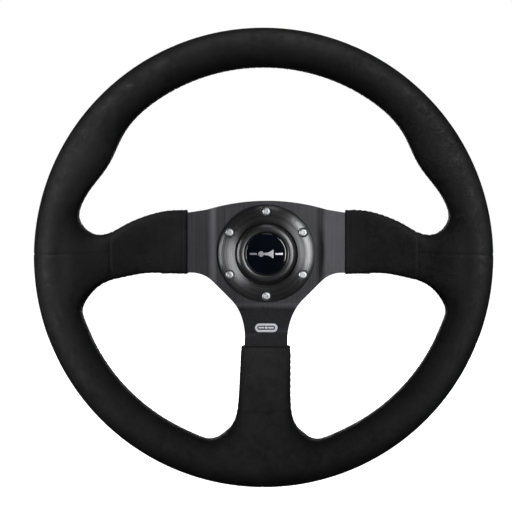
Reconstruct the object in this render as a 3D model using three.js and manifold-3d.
// A quick release steering wheel: a three-spoke 350 mm rim on a dished aluminium plate, a horn button,
// and a splined quick release whose column-side hub is the fixed part.
// Millimetres, +Z up with the wheel upright. The wheel's axis is Y: the driver sits on the -Y side.
// The origin is the centre of the hub's rear face, where it bolts to the steering column's boss.
import * as THREE from "three";
import { mergeVertices } from "three/addons/utils/BufferGeometryUtils.js";
import Module from "manifold-3d";

// ---------- driving dimensions ----------
const TURN = 2 * Math.PI;
const DEG = Math.PI / 180;
const FIT = 0.3; // gap kept between curved neighbours
const REST = 0.1; // gap kept between flat faces that rest on each other

const RIM_DIAMETER = 350;
const RIM_WIDTH = 30; // radially
const RIM_DEPTH = 28; // along the axis
const RIM_CENTRE_RADIUS = (RIM_DIAMETER - RIM_WIDTH) / 2;
const THUMB_SWELL = 7; // how far the rim thickens inwards at the thumb grips
const THUMB_ANGLE = 31 * DEG; // above the horizontal, on both sides
const THUMB_SPREAD = 10.3 * DEG;
const CREST_SHIFT = 3.5; // the rim's front and back crests lie this far outside the section's middle
const CORE_RADIUS = 5;
const COVER = 1.5; // thickness of the suede
const FOAM_INSET = COVER + 2 * FIT; // the foam stands clear of the cover

const BOLT_CIRCLE = 70; // six M5 screws, the usual pattern for this kind of wheel
const BOLT_COUNT = 6;
const SCREW_RADIUS = 2.5;
const SCREW_HOLE_RADIUS = SCREW_RADIUS + FIT;
const HEAD_RADIUS = 3.9;
const SOCKET_RADIUS = 1.6; // across the corners of the hexagonal sockets

const HUB_FLANGE = 8;
const QUICK_RELEASE_LENGTH = 57; // rear face of the hub to the back of the spoke plate
const PLATE = 4;
const PLATE_BACK = -QUICK_RELEASE_LENGTH;
const PLATE_FRONT = PLATE_BACK - PLATE;
const PLATE_MIDDLE = (PLATE_BACK + PLATE_FRONT) / 2;
const DISH = 58; // plate middle to rim centre
const RIM_PLANE = PLATE_MIDDLE - DISH;
const BEND = 45; // distance from the axis where the spokes bend towards the driver
const BEND_HALF = 4; // the bend's curve reaches this far to each side
const SPOKE_SLOPE = DISH / (150 - BEND);

const SPOKE_TOP = 34;
const SPOKE_BOTTOM = -15.5;
const LOWER_SPOKE_HALF = 17.5;
const PLATE_TOP = 43.8;
const SIDE_SLEEVE_START = 64.5;
const LOWER_SLEEVE_START = 74.5;
const SLEEVE_THIN = 12;
const SLEEVE_THICK = 23;

const BEZEL_RADIUS = 40.5;
const BEZEL_OPENING = 26;
const BEZEL_BACK = PLATE_FRONT - REST;
const BEZEL_FRONT = PLATE_FRONT - 7.5;
const BEZEL_EDGE = 8.5; // width of the bezel's rounded outer edge
const BEZEL_FALL = 3.6; // how far that edge falls back
const BUTTON_RADIUS = 25;
const DISC_RADIUS = 17;
const HORN_TRAVEL = 2.5;

const POST_ROOT = 16.5;
const POST_TIP = 18;
const SPLINES = 8;
const POST_NOSE = -41;
const BODY_RADIUS = 29;
const BODY_BACK = -10;
const BODY_FLANGE_RADIUS = 39.5;
const BODY_FLANGE_BACK = -47;
const SOCKET_FLOOR = -44;
const RECESS_FLOOR = -50;
const RECESS_RADIUS = 25.5;
const COLLAR_OUTER = 37;
const COLLAR_BACK = -13.3;
const COLLAR_LENGTH = 21;
const COLLAR_TRAVEL = 8;
const LOCK_PLANE = -31.5;

// ---------- colours ----------
const finishes = {
  suede: { color: 0x1b1b1d, roughness: 0.95, metalness: 0 },
  foam: { color: 0x2b2b2b, roughness: 0.9, metalness: 0 },
  plate: { color: 0x2a2a2e, roughness: 0.45, metalness: 0.8 },
  steel: { color: 0x8d9094, roughness: 0.35, metalness: 1 },
  bright: { color: 0xd8dade, roughness: 0.2, metalness: 1 },
  anodised: { color: 0x0e0e10, roughness: 0.3, metalness: 0.7 },
  plastic: { color: 0x141416, roughness: 0.5, metalness: 0 },
  gloss: { color: 0x050507, roughness: 0.08, metalness: 0 },
  brass: { color: 0xb08d3c, roughness: 0.3, metalness: 1 },
  red: { color: 0x8c1512, roughness: 0.5, metalness: 0 },
};

// ---------- solids and booleans ----------
const wasm = await Module();
wasm.setup();

function solidFrom(geometry) {
  const bare = new THREE.BufferGeometry();
  const source = geometry.index ? geometry.toNonIndexed() : geometry;
  bare.setAttribute("position", source.getAttribute("position").clone());
  const merged = mergeVertices(bare, 1e-4);
  const read = (triVerts) =>
    new wasm.Manifold(
      new wasm.Mesh({ numProp: 3, vertProperties: merged.attributes.position.array, triVerts }),
    );
  const corners = new Uint32Array(merged.index.array);
  const made = read(corners);
  return made.volume() > 0 ? made : read(corners.reverse());
}

function geometryFrom(solid) {
  const mesh = solid.getMesh();
  const geometry = new THREE.BufferGeometry();
  geometry.setAttribute("position", new THREE.BufferAttribute(mesh.vertProperties, 3));
  geometry.setIndex(new THREE.BufferAttribute(mesh.triVerts, 1));
  return geometry.toNonIndexed();
}

const placed = (geometry, x, y, z) => geometry.clone().translate(x, y, z);

// Moves every corner of a geometry to where the function says.
function reshaped(geometry, move) {
  const position = geometry.getAttribute("position");
  const point = new THREE.Vector3();
  for (let i = 0; i < position.count; i++) {
    point.fromBufferAttribute(position, i);
    move(point);
    position.setXYZ(i, point.x, point.y, point.z);
  }
  return geometry;
}

// A solid turned about the wheel's axis. The profile holds [radius, y] pairs.
function turned(profile, segments = 32) {
  const points = profile.map(([radius, y]) => new THREE.Vector2(radius, y));
  const onAxis = profile[0][0] === 0 && profile.at(-1)[0] === 0;
  if (!onAxis) points.push(points[0].clone());
  return solidFrom(new THREE.LatheGeometry(points, segments));
}

const ring = (inner, outer, back, front, segments = 32) =>
  turned([[inner, front], [outer, front], [outer, back], [inner, back]], segments);

const disc = (radius, back, front, segments = 32) =>
  turned([[0, front], [radius, front], [radius, back], [0, back]], segments);

// A straight round pin or hole along the axis, at x and z.
function rod(radius, back, front, x, z, segments = 10) {
  const cylinder = new THREE.CylinderGeometry(radius, radius, back - front, segments);
  return solidFrom(placed(cylinder, x, (back + front) / 2, z));
}

function block(x0, x1, y0, y1, z0, z1) {
  const box = new THREE.BoxGeometry(x1 - x0, y1 - y0, z1 - z0);
  return solidFrom(placed(box, (x0 + x1) / 2, (y0 + y1) / 2, (z0 + z1) / 2));
}

// A flat outline drawn as x and z, made solid from the plane y = front to y = back.
function extruded(shape, front, back, curveSegments = 12) {
  const options = { depth: back - front, bevelEnabled: false, curveSegments };
  const geometry = new THREE.ExtrudeGeometry(shape, options);
  return reshaped(geometry, (p) => p.set(p.x, front + p.z, p.y));
}

// A round wire that follows a curve.
function wire(curve, radius, steps, sides = 6) {
  const section = new THREE.Shape();
  for (let i = 0; i < sides; i++) {
    const angle = (i / sides) * TURN;
    const corner = [radius * Math.cos(angle), radius * Math.sin(angle)];
    if (i === 0) section.moveTo(...corner);
    else section.lineTo(...corner);
  }
  section.closePath();
  const options = { steps, extrudePath: curve, bevelEnabled: false };
  return solidFrom(new THREE.ExtrudeGeometry(section, options));
}

class Helix extends THREE.Curve {
  constructor(radiusBack, radiusFront, back, front, turns) {
    super();
    Object.assign(this, { radiusBack, radiusFront, back, front, turns });
  }
  getPoint(t, target = new THREE.Vector3()) {
    const radius = THREE.MathUtils.lerp(this.radiusBack, this.radiusFront, t);
    const angle = t * this.turns * TURN;
    const y = THREE.MathUtils.lerp(this.back, this.front, t);
    return target.set(radius * Math.cos(angle), y, radius * Math.sin(angle));
  }
}

// The six screw places, the first at twelve o'clock.
const boltPlaces = Array.from({ length: BOLT_COUNT }, (_, i) => {
  const angle = TURN / 4 - (i / BOLT_COUNT) * TURN;
  return [(BOLT_CIRCLE / 2) * Math.cos(angle), (BOLT_CIRCLE / 2) * Math.sin(angle)];
});

function withBoltHoles(solid, radius, back, front) {
  return boltPlaces.reduce((left, [x, z]) => left.subtract(rod(radius, back, front, x, z)), solid);
}

// ---------- the dished spokes ----------
// How far a spoke has come forward at a distance from the axis: nothing at the hub, then a steady slope.
function rise(distance) {
  const beyond = distance - BEND;
  if (beyond < -BEND_HALF) return 0;
  if (beyond > BEND_HALF) return SPOKE_SLOPE * beyond;
  return (SPOKE_SLOPE * (beyond + BEND_HALF) ** 2) / (4 * BEND_HALF);
}

const spokeMiddle = (distance) => PLATE_MIDDLE - rise(distance);

const FLAT_END = BEND - BEND_HALF - 1; // the arms join the flat middle here
const SIDE_NECK = 63.5; // where a side arm narrows to go into its sleeve
const LOWER_NECK = 73.5;
const ARM_INSET = 4.5;
const ARM_END = RIM_CENTRE_RADIUS - CORE_RADIUS - 1;
const ARM_END_HALF = 11;
const ARM_TAPER = 57; // a side arm narrows over this length inside its sleeve
const CORNER_LINE = 68.8; // the plate's lower corners run where |x| + |z| is this
const SIDE_ARC = 24; // radius that rounds a corner line into a side spoke
const LOWER_ARC = 44; // and into the lower spoke
const TOP_ARC = 172;
const TOP_ARC_END = 50;

// How far a straight edge at the given offset is left behind as it rounds into the corner line.
function roundedIn(distance, offset, arc) {
  const meet = CORNER_LINE - offset;
  const tangent = arc * Math.tan(TURN / 16);
  if (distance >= meet + tangent) return offset;
  if (distance <= meet - tangent * Math.SQRT1_2) return CORNER_LINE - distance;
  const past = meet + tangent - distance;
  return offset + arc - Math.sqrt(arc ** 2 - past ** 2);
}

// The edges of an arm at a distance from the axis, as low and high across it.
function sideArmEdges(distance, grow) {
  const toEnd = THREE.MathUtils.clamp((distance - SIDE_NECK - ARM_INSET) / ARM_TAPER, 0, 1);
  if (distance > SIDE_NECK) {
    const high = THREE.MathUtils.lerp(SPOKE_TOP - ARM_INSET, ARM_END_HALF, toEnd);
    const low = THREE.MathUtils.lerp(SPOKE_BOTTOM + ARM_INSET, -ARM_END_HALF, toEnd);
    return [low - grow, high + grow];
  }
  const onArc = Math.min(distance, TOP_ARC_END);
  const high = PLATE_TOP - TOP_ARC + Math.sqrt(TOP_ARC ** 2 - onArc ** 2);
  const past = Math.max(0, distance - TOP_ARC_END) / (SIDE_NECK - TOP_ARC_END);
  const low = -roundedIn(distance, -SPOKE_BOTTOM, SIDE_ARC);
  return [low, THREE.MathUtils.lerp(high, SPOKE_TOP, past)];
}

function lowerArmEdges(distance, grow) {
  const inSleeve = LOWER_SPOKE_HALF - ARM_INSET + grow;
  const half = distance > LOWER_NECK ? inSleeve : roundedIn(distance, LOWER_SPOKE_HALF, LOWER_ARC);
  return [-half, half];
}

// One arm: a bar reshaped station by station along the spoke.
function armSolid(stations, edges, grow, place) {
  const bar = new THREE.BoxGeometry(1, 1, 1, stations.length - 1, 1, 1);
  return solidFrom(
    reshaped(bar, (p) => {
      const distance = stations[Math.round((p.x + 0.5) * (stations.length - 1))];
      const across = edges(distance, grow)[p.z < 0 ? 0 : 1];
      place(p, distance, across, spokeMiddle(distance) + p.y * (PLATE + 2 * grow));
    }),
  );
}

const bendSteps = [-1, -0.5, 0, 0.5, 1].map((share) => BEND + share * BEND_HALF);
const bendStations = [FLAT_END, ...bendSteps, 52, 56, 60];
const sideStations = [...bendStations, SIDE_NECK, SIDE_NECK + 0.1, 80, 100, 125, ARM_END];
const lowerStations = [...bendStations, 64, 68, LOWER_NECK, LOWER_NECK + 0.1, 100, ARM_END];

// The flat middle of the plate, which the arms overlap a little.
function plateMiddle() {
  const shape = new THREE.Shape();
  const [sideLow, sideHigh] = sideArmEdges(FLAT_END + 0.5, 0);
  const arcHalf = Math.asin((FLAT_END + 0.5) / TOP_ARC);
  const lowHalf = lowerArmEdges(FLAT_END + 0.5, 0)[1];
  shape.moveTo(-lowHalf, -FLAT_END - 0.5);
  shape.lineTo(lowHalf, -FLAT_END - 0.5);
  shape.lineTo(FLAT_END + 0.5, sideLow);
  shape.lineTo(FLAT_END + 0.5, sideHigh);
  shape.absarc(0, PLATE_TOP - TOP_ARC, TOP_ARC, TURN / 4 - arcHalf, TURN / 4 + arcHalf, false);
  shape.lineTo(-FLAT_END - 0.5, sideLow);
  shape.closePath();
  return solidFrom(extruded(shape, PLATE_FRONT, PLATE_BACK, 8));
}

function armSolids(grow) {
  const right = armSolid(sideStations, sideArmEdges, grow, (p, d, across, y) => p.set(d, y, across));
  const left = armSolid(sideStations, sideArmEdges, grow, (p, d, across, y) => p.set(-d, y, across));
  const lower = armSolid(lowerStations, lowerArmEdges, grow, (p, d, across, y) => p.set(across, y, -d));
  return right.add(left).add(lower);
}

function spokePlate() {
  const opening = disc(BUTTON_RADIUS + FIT / 2, PLATE_BACK + 1, PLATE_FRONT - 1, 40);
  const plate = plateMiddle().add(armSolids(0)).subtract(opening);
  return withBoltHoles(plate, SCREW_HOLE_RADIUS, PLATE_BACK + 1, PLATE_FRONT - 1);
}

// ---------- the grip: rim and sleeves ----------
function swell(angle) {
  const side = Math.abs(Math.abs(angle) > Math.PI / 2 ? Math.PI - Math.abs(angle) : Math.abs(angle));
  const away = (side - THUMB_ANGLE) / THUMB_SPREAD;
  return angle > 0 ? THUMB_SWELL * Math.exp(-away * away) : 0;
}

// The rim's solid, drawn in by inset all round.
function rimSolid(inset, around = 48, section = 12) {
  const torus = new THREE.TorusGeometry(RIM_CENTRE_RADIUS, 1, section, around);
  const halfWidth = RIM_WIDTH / 2 - inset;
  const halfDepth = RIM_DEPTH / 2 - inset;
  return solidFrom(
    reshaped(torus, (p) => {
      const angle = Math.atan2(p.y, p.x);
      const across = Math.hypot(p.x, p.y) - RIM_CENTRE_RADIUS;
      const reach = across < 0 ? halfWidth + swell(angle) : halfWidth;
      const radius = RIM_CENTRE_RADIUS + across * reach + CREST_SHIFT * p.z ** 2;
      p.set(radius * Math.cos(angle), RIM_PLANE + p.z * halfDepth, radius * Math.sin(angle));
    }),
  );
}

const EDGE_END = 143; // the edge curves stop here, inside the rim

// The sleeves' edges: distance from the axis along the spoke, then where the edge lies across it.
const sideUpperEdge = new THREE.SplineCurve(
  [
    [60, 36.3],
    [78, 36],
    [92, 32.8],
    [106, 27],
    [119, 19.5],
    [128, 16.8],
    [136, 20],
    [EDGE_END, 31],
  ].map(([x, z]) => new THREE.Vector2(x, z)),
);
const sideLowerEdge = new THREE.SplineCurve(
  [
    [60, -17.4],
    [78, -15.6],
    [95, -14.5],
    [112, -17],
    [124, -20.3],
    [132, -26.5],
    [138, -35],
    [EDGE_END, -45],
  ].map(([x, z]) => new THREE.Vector2(x, z)),
);
const lowerHalfWidth = new THREE.SplineCurve(
  [
    [70, 20.4],
    [95, 20.4],
    [115, 20.7],
    [127, 23],
    [135, 29.5],
    [140, 38],
    [EDGE_END, 46],
  ].map(([x, z]) => new THREE.Vector2(x, z)),
);

// Where an edge curve lies at a distance from the axis.
function edgeAt(curve, distance) {
  let low = 0;
  let high = 1;
  for (let i = 0; i < 24; i++) {
    const middle = (low + high) / 2;
    if (curve.getPoint(middle).x < distance) low = middle;
    else high = middle;
  }
  return curve.getPoint(low).y;
}

// A sleeve's thickness grows evenly between these two distances.
const THIN_UNTIL = 70;
const THICK_FROM = 142;

function sleeveDepth(distance) {
  const share = THREE.MathUtils.smoothstep(distance, THIN_UNTIL, THICK_FROM);
  return THREE.MathUtils.lerp(SLEEVE_THIN, SLEEVE_THICK, share);
}

const FLARE_END = 148;
const SQUARENESS = 4; // exponent of the sleeve's rounded section

// A sleeve: a round bar reshaped to a rounded section whose width, thickness and place follow the spoke.
function sleeveSolid(start, inset, edges, place) {
  const bar = new THREE.CylinderGeometry(1, 1, 1, 14, 9);
  const bent = (value) => Math.sign(value) * Math.abs(value) ** (2 / SQUARENESS);
  return solidFrom(
    reshaped(bar, (p) => {
      const distance = THREE.MathUtils.lerp(start, FLARE_END, p.y + 0.5);
      const [low, high] = edges(Math.min(distance, EDGE_END));
      const size = Math.hypot(p.x, p.z);
      const across = size * bent(p.x / (size || 1)) * ((high - low) / 2 - inset);
      const through = size * bent(p.z / (size || 1)) * (sleeveDepth(distance) / 2 - inset);
      place(p, distance, (low + high) / 2 + across, spokeMiddle(distance) + through);
    }),
  );
}

const sideEdges = (distance) => [edgeAt(sideLowerEdge, distance), edgeAt(sideUpperEdge, distance)];
const lowerEdges = (distance) => {
  const half = edgeAt(lowerHalfWidth, distance);
  return [-half, half];
};

// Rim and sleeves as one solid. A positive overrun lets the sleeves run on towards the hub.
function gripSolid(inset, overrun) {
  const side = SIDE_SLEEVE_START - overrun;
  const lower = LOWER_SLEEVE_START - overrun;
  return rimSolid(inset)
    .add(sleeveSolid(side, inset, sideEdges, (p, d, across, y) => p.set(d, y, across)))
    .add(sleeveSolid(side, inset, sideEdges, (p, d, across, y) => p.set(-d, y, across)))
    .add(sleeveSolid(lower, inset, lowerEdges, (p, d, across, y) => p.set(across, y, -d)));
}

const coreSolid = (grow) => {
  const torus = new THREE.TorusGeometry(RIM_CENTRE_RADIUS, CORE_RADIUS + grow, 6, 40);
  return solidFrom(torus.rotateX(Math.PI / 2).translate(0, RIM_PLANE, 0));
};

function gripFoam() {
  return gripSolid(FOAM_INSET, 0).subtract(coreSolid(FIT)).subtract(armSolids(FIT));
}

// The cover panels: the shell round the foam, cut at the seams.
const SLEEVE_OVERRUN = 5; // the hollow runs on past a sleeve's open end
const SEAM_DISTANCE = 119; // a sleeve's seam with the rim
const SEAM_HEIGHT = 3; // the rim's side seams, on the side spokes' line
const FAR = 200;
const SIDE_SLEEVE_LOW = -45; // a block between these heights holds both side sleeves
const SIDE_SLEEVE_HIGH = 60;
const LOWER_SLEEVE_HALF = 60; // and one this far to each side holds the lower sleeve

function coverPanels() {
  const shell = gripSolid(0, 0).subtract(gripSolid(COVER, SLEEVE_OVERRUN));
  const half = REST / 2;
  const seam = SEAM_DISTANCE + half;
  const depth = [RIM_PLANE - RIM_DEPTH, PLATE_BACK];
  const panel = (x0, x1, z0, z1) => shell.intersect(block(x0, x1, ...depth, z0, z1));
  const inner = block(-seam, seam, ...depth, SIDE_SLEEVE_LOW, SIDE_SLEEVE_HIGH);
  const innerLow = block(-LOWER_SLEEVE_HALF, LOWER_SLEEVE_HALF, ...depth, -seam, SIDE_SLEEVE_LOW);
  const rimPanel = (x0, x1, z0, z1) => panel(x0, x1, z0, z1).subtract(inner).subtract(innerLow);
  return {
    rim_cover_top: rimPanel(-FAR, FAR, SEAM_HEIGHT + half, FAR),
    rim_cover_lower_left: rimPanel(-FAR, -half, -FAR, SEAM_HEIGHT - half),
    rim_cover_lower_right: rimPanel(half, FAR, -FAR, SEAM_HEIGHT - half),
    spoke_cover_left: panel(half - SEAM_DISTANCE, 0, SIDE_SLEEVE_LOW, SIDE_SLEEVE_HIGH),
    spoke_cover_right: panel(0, SEAM_DISTANCE - half, SIDE_SLEEVE_LOW, SIDE_SLEEVE_HIGH),
    spoke_cover_bottom: panel(-LOWER_SLEEVE_HALF, LOWER_SLEEVE_HALF, half - SEAM_DISTANCE, SIDE_SLEEVE_LOW),
  };
}

// ---------- bezel, screws and badge ----------
const SCREW_SEAT = BEZEL_FRONT + 3;
const BEZEL_SCREW_TIP = BODY_FLANGE_BACK - 2;

function hornBezel() {
  const edge = [0, 1, 2, 3, 4].map((step) => {
    const angle = ((step / 4) * TURN) / 4;
    return [
      BEZEL_RADIUS - BEZEL_EDGE * (1 - Math.sin(angle)),
      BEZEL_FRONT + BEZEL_FALL * (1 - Math.cos(angle)),
    ];
  });
  const stepFront = BEZEL_BACK - 1.8;
  const stepRadius = BEZEL_OPENING + 2.4;
  const body = turned([
    [BEZEL_OPENING, stepFront],
    [BEZEL_OPENING, BEZEL_FRONT],
    ...edge,
    [BEZEL_RADIUS, BEZEL_BACK],
    [stepRadius, BEZEL_BACK],
    [stepRadius, stepFront],
  ], 40);
  const drilled = withBoltHoles(body, SCREW_HOLE_RADIUS, BEZEL_BACK + 1, BEZEL_FRONT - 1);
  return withBoltHoles(drilled, HEAD_RADIUS + FIT, SCREW_SEAT, BEZEL_FRONT - 1);
}

const SCREW_HEAD = 3.4;
const HEAD_CHAMFER = 0.9;
const COUNTERSINK = 2.6;
const TIP_LENGTH = 0.8;
const TIP_RADIUS = SCREW_RADIUS - 0.6;
const SOCKET_DEPTH = 1.6;

// A socket screw along the axis, its head towards the driver.
function socketScrew(seat, tip) {
  const headTop = seat - SCREW_HEAD;
  const body = turned([
    [0, headTop],
    [HEAD_RADIUS - HEAD_CHAMFER, headTop],
    [HEAD_RADIUS, headTop + HEAD_CHAMFER],
    [HEAD_RADIUS, seat],
    [SCREW_RADIUS, seat],
    [SCREW_RADIUS, tip - TIP_LENGTH],
    [TIP_RADIUS, tip],
    [0, tip],
  ], 10);
  return body.subtract(rod(SOCKET_RADIUS, headTop + SOCKET_DEPTH, headTop - 1, 0, 0, 6));
}

// A countersunk screw along the axis, its head towards the driver.
function countersunkScrew(face, tip) {
  const body = turned([
    [0, face],
    [HEAD_RADIUS, face],
    [SCREW_RADIUS, face + COUNTERSINK],
    [SCREW_RADIUS, tip - TIP_LENGTH],
    [TIP_RADIUS, tip],
    [0, tip],
  ], 10);
  return body.subtract(rod(SOCKET_RADIUS, face + SOCKET_DEPTH, face - 1, 0, 0, 6));
}

const BADGE_Z = -61.2;
const BADGE_WIDTH = 18.6;
const BADGE_HEIGHT = 7.4;
const BADGE_THICKNESS = 0.6;
const BADGE_LIFT = 0.25; // keeps the badge clear of the spoke it lies on

// A plain rounded bar that lies on the lower spoke.
function spokeBadge() {
  const half = BADGE_HEIGHT / 2;
  const reach = BADGE_WIDTH / 2 - half;
  const shape = new THREE.Shape();
  shape.absarc(reach, 0, half, -TURN / 4, TURN / 4, false);
  shape.absarc(-reach, 0, half, TURN / 4, (3 * TURN) / 4, false);
  const options = { depth: BADGE_THICKNESS, bevelEnabled: false, curveSegments: 6 };
  const flat = new THREE.ExtrudeGeometry(shape, options);
  flat.translate(0, 0, REST).rotateX(TURN / 4);
  const before = rise(-BADGE_Z - 1);
  const after = rise(-BADGE_Z + 1);
  flat.rotateX(-Math.atan2(after - before, 2));
  return solidFrom(flat.translate(0, PLATE_FRONT - rise(-BADGE_Z) - BADGE_LIFT, BADGE_Z));
}

// ---------- horn button ----------
const HOUSING_FLANGE_RADIUS = 28;
const HOUSING_FLANGE = 1.5;
const HOUSING_OUTER = 24.8;
const HOUSING_INNER = 22.6;
const HOUSING_BACK = PLATE_FRONT + 6.5;
const HOUSING_FLOOR = HOUSING_BACK - 1.5;
const CAP_BACK = PLATE_FRONT - 5.2; // back of the head
const CAP_CREST = PLATE_FRONT - 10.3;
const CAP_SKIRT = 22.2;
const CAP_CEILING = CAP_BACK - 0.8;
const SKIRT_END = HOUSING_FLOOR - HORN_TRAVEL - 0.9;
const DISC_SEAT = CAP_CREST + 2;

function hornHousing() {
  const flangeBack = BEZEL_BACK;
  return turned([
    [0, HOUSING_BACK],
    [HOUSING_OUTER, HOUSING_BACK],
    [HOUSING_OUTER, flangeBack],
    [HOUSING_FLANGE_RADIUS, flangeBack],
    [HOUSING_FLANGE_RADIUS, flangeBack - HOUSING_FLANGE],
    [HOUSING_INNER, flangeBack - HOUSING_FLANGE],
    [HOUSING_INNER, HOUSING_FLOOR],
    [0, HOUSING_FLOOR],
  ]);
}

function hornCap() {
  return turned([
    [0, DISC_SEAT],
    [DISC_RADIUS + 0.4, DISC_SEAT],
    [DISC_RADIUS + 0.9, CAP_CREST + 0.5],
    [DISC_RADIUS + 2.6, CAP_CREST],
    [BUTTON_RADIUS - 3, CAP_CREST + 0.2],
    [BUTTON_RADIUS - 0.6, CAP_CREST + 1.4],
    [BUTTON_RADIUS, CAP_CREST + 3],
    [BUTTON_RADIUS, CAP_BACK],
    [CAP_SKIRT, CAP_BACK],
    [CAP_SKIRT, SKIRT_END],
    [CAP_SKIRT - 2.2, SKIRT_END],
    [CAP_SKIRT - 2.2, CAP_CEILING],
    [0, CAP_CEILING],
  ]);
}

function hornDisc() {
  const back = DISC_SEAT - REST;
  return turned([
    [0, back - 1.7],
    [DISC_RADIUS * 0.4, back - 1.6],
    [DISC_RADIUS * 0.8, back - 1.2],
    [DISC_RADIUS, back - 0.7],
    [DISC_RADIUS, back],
    [0, back],
  ]);
}

const CONTACT_INNER = 11;
const CONTACT_OUTER = 19;
const FIXED_CONTACT_BACK = HOUSING_FLOOR - REST;
const MOVING_CONTACT_BACK = FIXED_CONTACT_BACK - 0.8 - HORN_TRAVEL - REST;

const fixedContact = () =>
  ring(CONTACT_INNER, CONTACT_OUTER, FIXED_CONTACT_BACK, FIXED_CONTACT_BACK - 0.8, 32);

// A ring with a rim that reaches up inside the cap.
function movingContact() {
  return turned([
    [CONTACT_INNER, MOVING_CONTACT_BACK],
    [CONTACT_OUTER + 0.6, MOVING_CONTACT_BACK],
    [CONTACT_OUTER + 0.6, CAP_CEILING + REST],
    [CONTACT_OUTER - 0.2, CAP_CEILING + REST],
    [CONTACT_OUTER - 0.2, MOVING_CONTACT_BACK - 0.8],
    [CONTACT_INNER, MOVING_CONTACT_BACK - 0.8],
  ], 32);
}

const HORN_WIRE = 0.6;

function hornSpring() {
  const back = HOUSING_FLOOR - HORN_WIRE - REST;
  const front = CAP_CEILING + HORN_WIRE + REST;
  return wire(new Helix(8, 6, back, front, 3), HORN_WIRE, 36, 5);
}

const TAB_X = 10;
const TAB_END = RECESS_FLOOR - 1.6;
const terminalTab = (side) =>
  block(side * TAB_X - 2, side * TAB_X + 2, HOUSING_BACK + REST, TAB_END, 3, 3.8);

// A short lead from a terminal tab to the contact block behind it.
function hornLead(side) {
  const level = (HOUSING_BACK + TAB_END) / 2 + 0.2;
  const route = new THREE.CatmullRomCurve3([
    new THREE.Vector3(side * TAB_X, level, 5),
    new THREE.Vector3(side * TAB_X, level, 9),
    new THREE.Vector3(side * 14, level, 14),
    new THREE.Vector3(side * 19, level, 8),
    new THREE.Vector3(side * 17, level, -4),
    new THREE.Vector3(side * 9, level + 0.3, -6.5),
    new THREE.Vector3(side * 6, RECESS_FLOOR - 2.1, -6),
  ]);
  return wire(route, 0.8, 20);
}

// ---------- quick release, wheel side ----------
// A gear-like outline of splines, drawn as x and z. Each corner is a radius and its share of the pitch.
function splineOutline(root, tip) {
  const outline = new THREE.Shape();
  const corners = [
    [root, 0],
    [root, 0.42],
    [tip, 0.54],
    [tip, 0.88],
  ];
  for (let i = 0; i < SPLINES; i++) {
    for (const [radius, share] of corners) {
      const angle = ((i + share) / SPLINES) * TURN;
      const corner = [radius * Math.cos(angle), radius * Math.sin(angle)];
      if (i === 0 && share === 0) outline.moveTo(...corner);
      else outline.lineTo(...corner);
    }
  }
  outline.closePath();
  return outline;
}

const RING_WIRE = 1.4; // the lock ring's thickness along the axis
const LOCK_GROOVE = 2; // the grooves' width
const WINDOW_HALF = 7; // the slot that the lock ring's ears stand in
const CIRCLIP_BACK = -11.6;
const CIRCLIP_FRONT = -13;
const CIRCLIP_SEAT = 27.4;
const BLOCK_RADIUS = 11.5;
const BODY_HOLE_END = BODY_FLANGE_BACK - 1.2; // the screw holes stop short of the flange's rear face

function releaseBody() {
  const outside = turned([
    [0, BODY_BACK],
    [BODY_RADIUS - 1, BODY_BACK],
    [BODY_RADIUS, BODY_BACK - 1],
    [BODY_RADIUS, BODY_FLANGE_BACK],
    [BODY_FLANGE_RADIUS - 1, BODY_FLANGE_BACK],
    [BODY_FLANGE_RADIUS, BODY_FLANGE_BACK - 1],
    [BODY_FLANGE_RADIUS, PLATE_BACK + REST],
    [0, PLATE_BACK + REST],
  ]);
  const splines = splineOutline(POST_ROOT + FIT, POST_TIP + FIT);
  const socket = solidFrom(extruded(splines, SOCKET_FLOOR, BODY_BACK + 1));
  const recess = disc(RECESS_RADIUS, RECESS_FLOOR, PLATE_BACK - 1);
  const wireHole = disc(BLOCK_RADIUS + FIT, SOCKET_FLOOR + 1, RECESS_FLOOR - 1, 24);
  const lockGroove = disc(POST_TIP + 3.4, LOCK_PLANE + LOCK_GROOVE / 2, LOCK_PLANE - LOCK_GROOVE / 2);
  const circlipGroove = ring(CIRCLIP_SEAT, BODY_RADIUS + 1, CIRCLIP_BACK + REST, CIRCLIP_FRONT - REST);
  const window = block(-WINDOW_HALF, WINDOW_HALF, SOCKET_FLOOR + 1, COLLAR_BACK - 6, 0, BODY_RADIUS + 1);
  const hollow = socket.add(recess).add(wireHole).add(lockGroove).add(window);
  const bored = outside.subtract(hollow).subtract(circlipGroove);
  return withBoltHoles(bored, SCREW_HOLE_RADIUS, BODY_HOLE_END, PLATE_BACK - 1);
}

const COLLAR_FRONT = COLLAR_BACK - COLLAR_LENGTH;
const COLLAR_BORE = BODY_RADIUS + FIT;
const SPRING_SEAT = -28;
const SPRING_POCKET = 35;
const SCALLOPS = 12;
const SCALLOP_RADIUS = 5;

function releaseCollar() {
  const body = turned([
    [COLLAR_BORE, COLLAR_BACK],
    [COLLAR_OUTER - 1.5, COLLAR_BACK],
    [COLLAR_OUTER, COLLAR_BACK - 1.5],
    [COLLAR_OUTER, COLLAR_FRONT + 1.5],
    [COLLAR_OUTER - 1, COLLAR_FRONT],
    [SPRING_POCKET, COLLAR_FRONT],
    [SPRING_POCKET, SPRING_SEAT],
    [COLLAR_BORE, SPRING_SEAT],
  ]);
  let cut = body;
  for (let i = 0; i < SCALLOPS; i++) {
    const angle = ((i + 0.5) / SCALLOPS) * TURN;
    const reach = COLLAR_OUTER + SCALLOP_RADIUS - 1.1;
    const place = [reach * Math.cos(angle), reach * Math.sin(angle)];
    cut = cut.subtract(rod(SCALLOP_RADIUS, COLLAR_BACK - 4, COLLAR_FRONT - 1, ...place, 12));
  }
  return cut.add(collarWedge());
}

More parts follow.
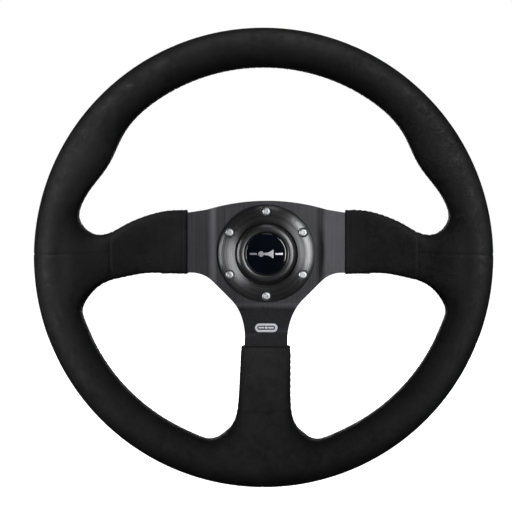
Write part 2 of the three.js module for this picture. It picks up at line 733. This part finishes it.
const WEDGE_HALF = 5.5; // half its width at the root
const WEDGE_TIP_HALF = 2;
const WEDGE_BACK = COLLAR_BACK - 7;
const WEDGE_SHOULDER = COLLAR_BACK - 10; // it narrows from here to its tip
const WEDGE_TIP = LOCK_PLANE + RING_WIRE / 2 + 0.6;
const WEDGE_INNER = 24; // distance of its inner face from the axis

// The wedge inside the collar that parts the lock ring's ears when the collar is pulled.
function collarWedge() {
  const shape = new THREE.Shape();
  shape.moveTo(-WEDGE_HALF, WEDGE_BACK);
  shape.lineTo(WEDGE_HALF, WEDGE_BACK);
  shape.lineTo(WEDGE_HALF, WEDGE_SHOULDER);
  shape.lineTo(WEDGE_TIP_HALF, WEDGE_TIP);
  shape.lineTo(-WEDGE_TIP_HALF, WEDGE_TIP);
  shape.lineTo(-WEDGE_HALF, WEDGE_SHOULDER);
  shape.closePath();
  const depth = COLLAR_BORE + 1 - WEDGE_INNER;
  const wedge = new THREE.ExtrudeGeometry(shape, { depth, bevelEnabled: false });
  const trimmed = solidFrom(wedge.translate(0, 0, WEDGE_INNER));
  return trimmed.intersect(disc(COLLAR_BORE + 1.5, 0, PLATE_BACK));
}

const COLLAR_WIRE = 0.9;

function collarSpring() {
  const radius = (COLLAR_BORE + SPRING_POCKET) / 2;
  const back = SPRING_SEAT - COLLAR_WIRE - REST;
  const front = BODY_FLANGE_BACK + COLLAR_WIRE + REST;
  return wire(new Helix(radius, radius, back, front, 3.5), COLLAR_WIRE, 56, 5);
}

// A flat ring with a gap at the top.
function openRing(inner, outer, back, front, gapHalf) {
  return ring(inner, outer, back, front).subtract(block(-gapHalf, gapHalf, front - 1, back + 1, 0, 60));
}

const collarCirclip = () =>
  openRing(CIRCLIP_SEAT + FIT, BODY_RADIUS + 2.6, CIRCLIP_BACK, CIRCLIP_FRONT, 4);

function lockRing() {
  const back = LOCK_PLANE + RING_WIRE / 2;
  const front = LOCK_PLANE - RING_WIRE / 2;
  const band = openRing(POST_ROOT - 1.2, POST_TIP + 1.4, back, front, 2.6);
  const ear = (x0, x1) => block(x0, x1, front, back, POST_TIP - 1, BODY_RADIUS - 1);
  return band.add(ear(-5, -2.6)).add(ear(2.6, 5));
}

const PIN_X = [0, 8];
const contactBlock = () => {
  const plug = disc(BLOCK_RADIUS, SOCKET_FLOOR + REST, RECESS_FLOOR - 1.2, 24);
  return PIN_X.reduce(
    (left, x) => left.subtract(rod(1.3, SOCKET_FLOOR + 1, RECESS_FLOOR - 2, x, 0)),
    plug,
  );
};
const contactPin = (x) => rod(1, POST_NOSE - 0.4, RECESS_FLOOR - 1.6, x, 0);

// ---------- quick release, column side ----------
const HUB_RADIUS = 40;
const INSULATOR_RADIUS = 12.3;
const NOSE_RECESS = 3;

function hubBase() {
  const flange = turned([
    [0, 0],
    [HUB_RADIUS - 1, 0],
    [HUB_RADIUS, -1],
    [HUB_RADIUS, 1 - HUB_FLANGE],
    [HUB_RADIUS - 1, -HUB_FLANGE],
    [0, -HUB_FLANGE],
  ]);
  const splines = splineOutline(POST_ROOT, POST_TIP);
  const post = solidFrom(extruded(splines, POST_NOSE, -HUB_FLANGE + 1));
  const nose = turned([
    [0, POST_NOSE],
    [POST_TIP - 3, POST_NOSE],
    [POST_TIP, POST_NOSE + 3],
    [POST_TIP, 0],
    [0, 0],
  ]);
  const groove = ring(
    POST_ROOT - 1.5,
    POST_TIP + 1,
    LOCK_PLANE + LOCK_GROOVE / 2,
    LOCK_PLANE - LOCK_GROOVE / 2,
  );
  const recess = disc(INSULATOR_RADIUS + 0.2, POST_NOSE + NOSE_RECESS, POST_NOSE - 1, 24);
  const hub = flange.add(post.intersect(nose)).subtract(groove).subtract(recess);
  const seat = countersink();
  return boltPlaces.reduce(
    (left, [x, z]) => left.subtract(seat.translate([x, 0, z])),
    withBoltHoles(hub, SCREW_HOLE_RADIUS, 1, -HUB_FLANGE - 1),
  );
}

const HUB_SCREW_FACE = -HUB_FLANGE + 0.4;
const HUB_SCREW_TIP = 9;
const countersink = () =>
  turned([
    [0, -HUB_FLANGE - 1],
    [HEAD_RADIUS + FIT, -HUB_FLANGE - 1],
    [HEAD_RADIUS + FIT, HUB_SCREW_FACE],
    [SCREW_HOLE_RADIUS - 0.1, HUB_SCREW_FACE + 2.7],
    [0, HUB_SCREW_FACE + 2.7],
  ], 10);

const insulatorFront = POST_NOSE + 0.7;
const hubInsulator = () =>
  disc(INSULATOR_RADIUS, POST_NOSE + NOSE_RECESS - REST, insulatorFront, 24);
const hubCentreContact = () => disc(3, insulatorFront - REST, POST_NOSE - 0.2, 16);
const hubRingContact = () => ring(6.4, 9.6, insulatorFront - REST, POST_NOSE - 0.2, 24);

// ---------- assembly ----------
const group = new THREE.Group();

function part(name, finish, solid, x = 0, z = 0) {
  const mesh = new THREE.Mesh(geometryFrom(solid), new THREE.MeshStandardMaterial(finishes[finish]));
  mesh.name = name;
  mesh.position.set(x, 0, z);
  group.add(mesh);
}

part("hub_base", "steel", hubBase());
part("hub_insulator", "plastic", hubInsulator());
part("hub_centre_contact", "brass", hubCentreContact());
part("hub_ring_contact", "brass", hubRingContact());
const hubScrew = countersunkScrew(HUB_SCREW_FACE, HUB_SCREW_TIP);
boltPlaces.forEach(([x, z], i) => part(`hub_screw_${i + 1}`, "bright", hubScrew, x, z));

part("release_body", "anodised", releaseBody());
part("release_collar", "anodised", releaseCollar());
part("collar_spring", "steel", collarSpring());
part("collar_circlip", "steel", collarCirclip());
part("lock_ring", "steel", lockRing());
part("contact_block", "plastic", contactBlock());
part("contact_pin_centre", "brass", contactPin(PIN_X[0]));
part("contact_pin_ring", "brass", contactPin(PIN_X[1]));

part("spoke_plate", "plate", spokePlate());
part("rim_core", "steel", coreSolid(0));
part("grip_foam", "foam", gripFoam());
for (const [name, solid] of Object.entries(coverPanels())) part(name, "suede", solid);
part("spoke_badge", "bright", spokeBadge());

part("horn_bezel", "anodised", hornBezel());
const bezelScrew = socketScrew(SCREW_SEAT, BEZEL_SCREW_TIP);
boltPlaces.forEach(([x, z], i) => part(`bezel_screw_${i + 1}`, "bright", bezelScrew, x, z));
part("horn_housing", "plastic", hornHousing());
part("fixed_contact", "brass", fixedContact());
part("terminal_tab_left", "brass", terminalTab(-1));
part("terminal_tab_right", "brass", terminalTab(1));
part("horn_lead_live", "red", hornLead(1));
part("horn_lead_earth", "plastic", hornLead(-1));
part("horn_spring", "steel", hornSpring());
part("horn_cap", "anodised", hornCap());
part("horn_disc", "gloss", hornDisc());
part("moving_contact", "brass", movingContact());

export default group;
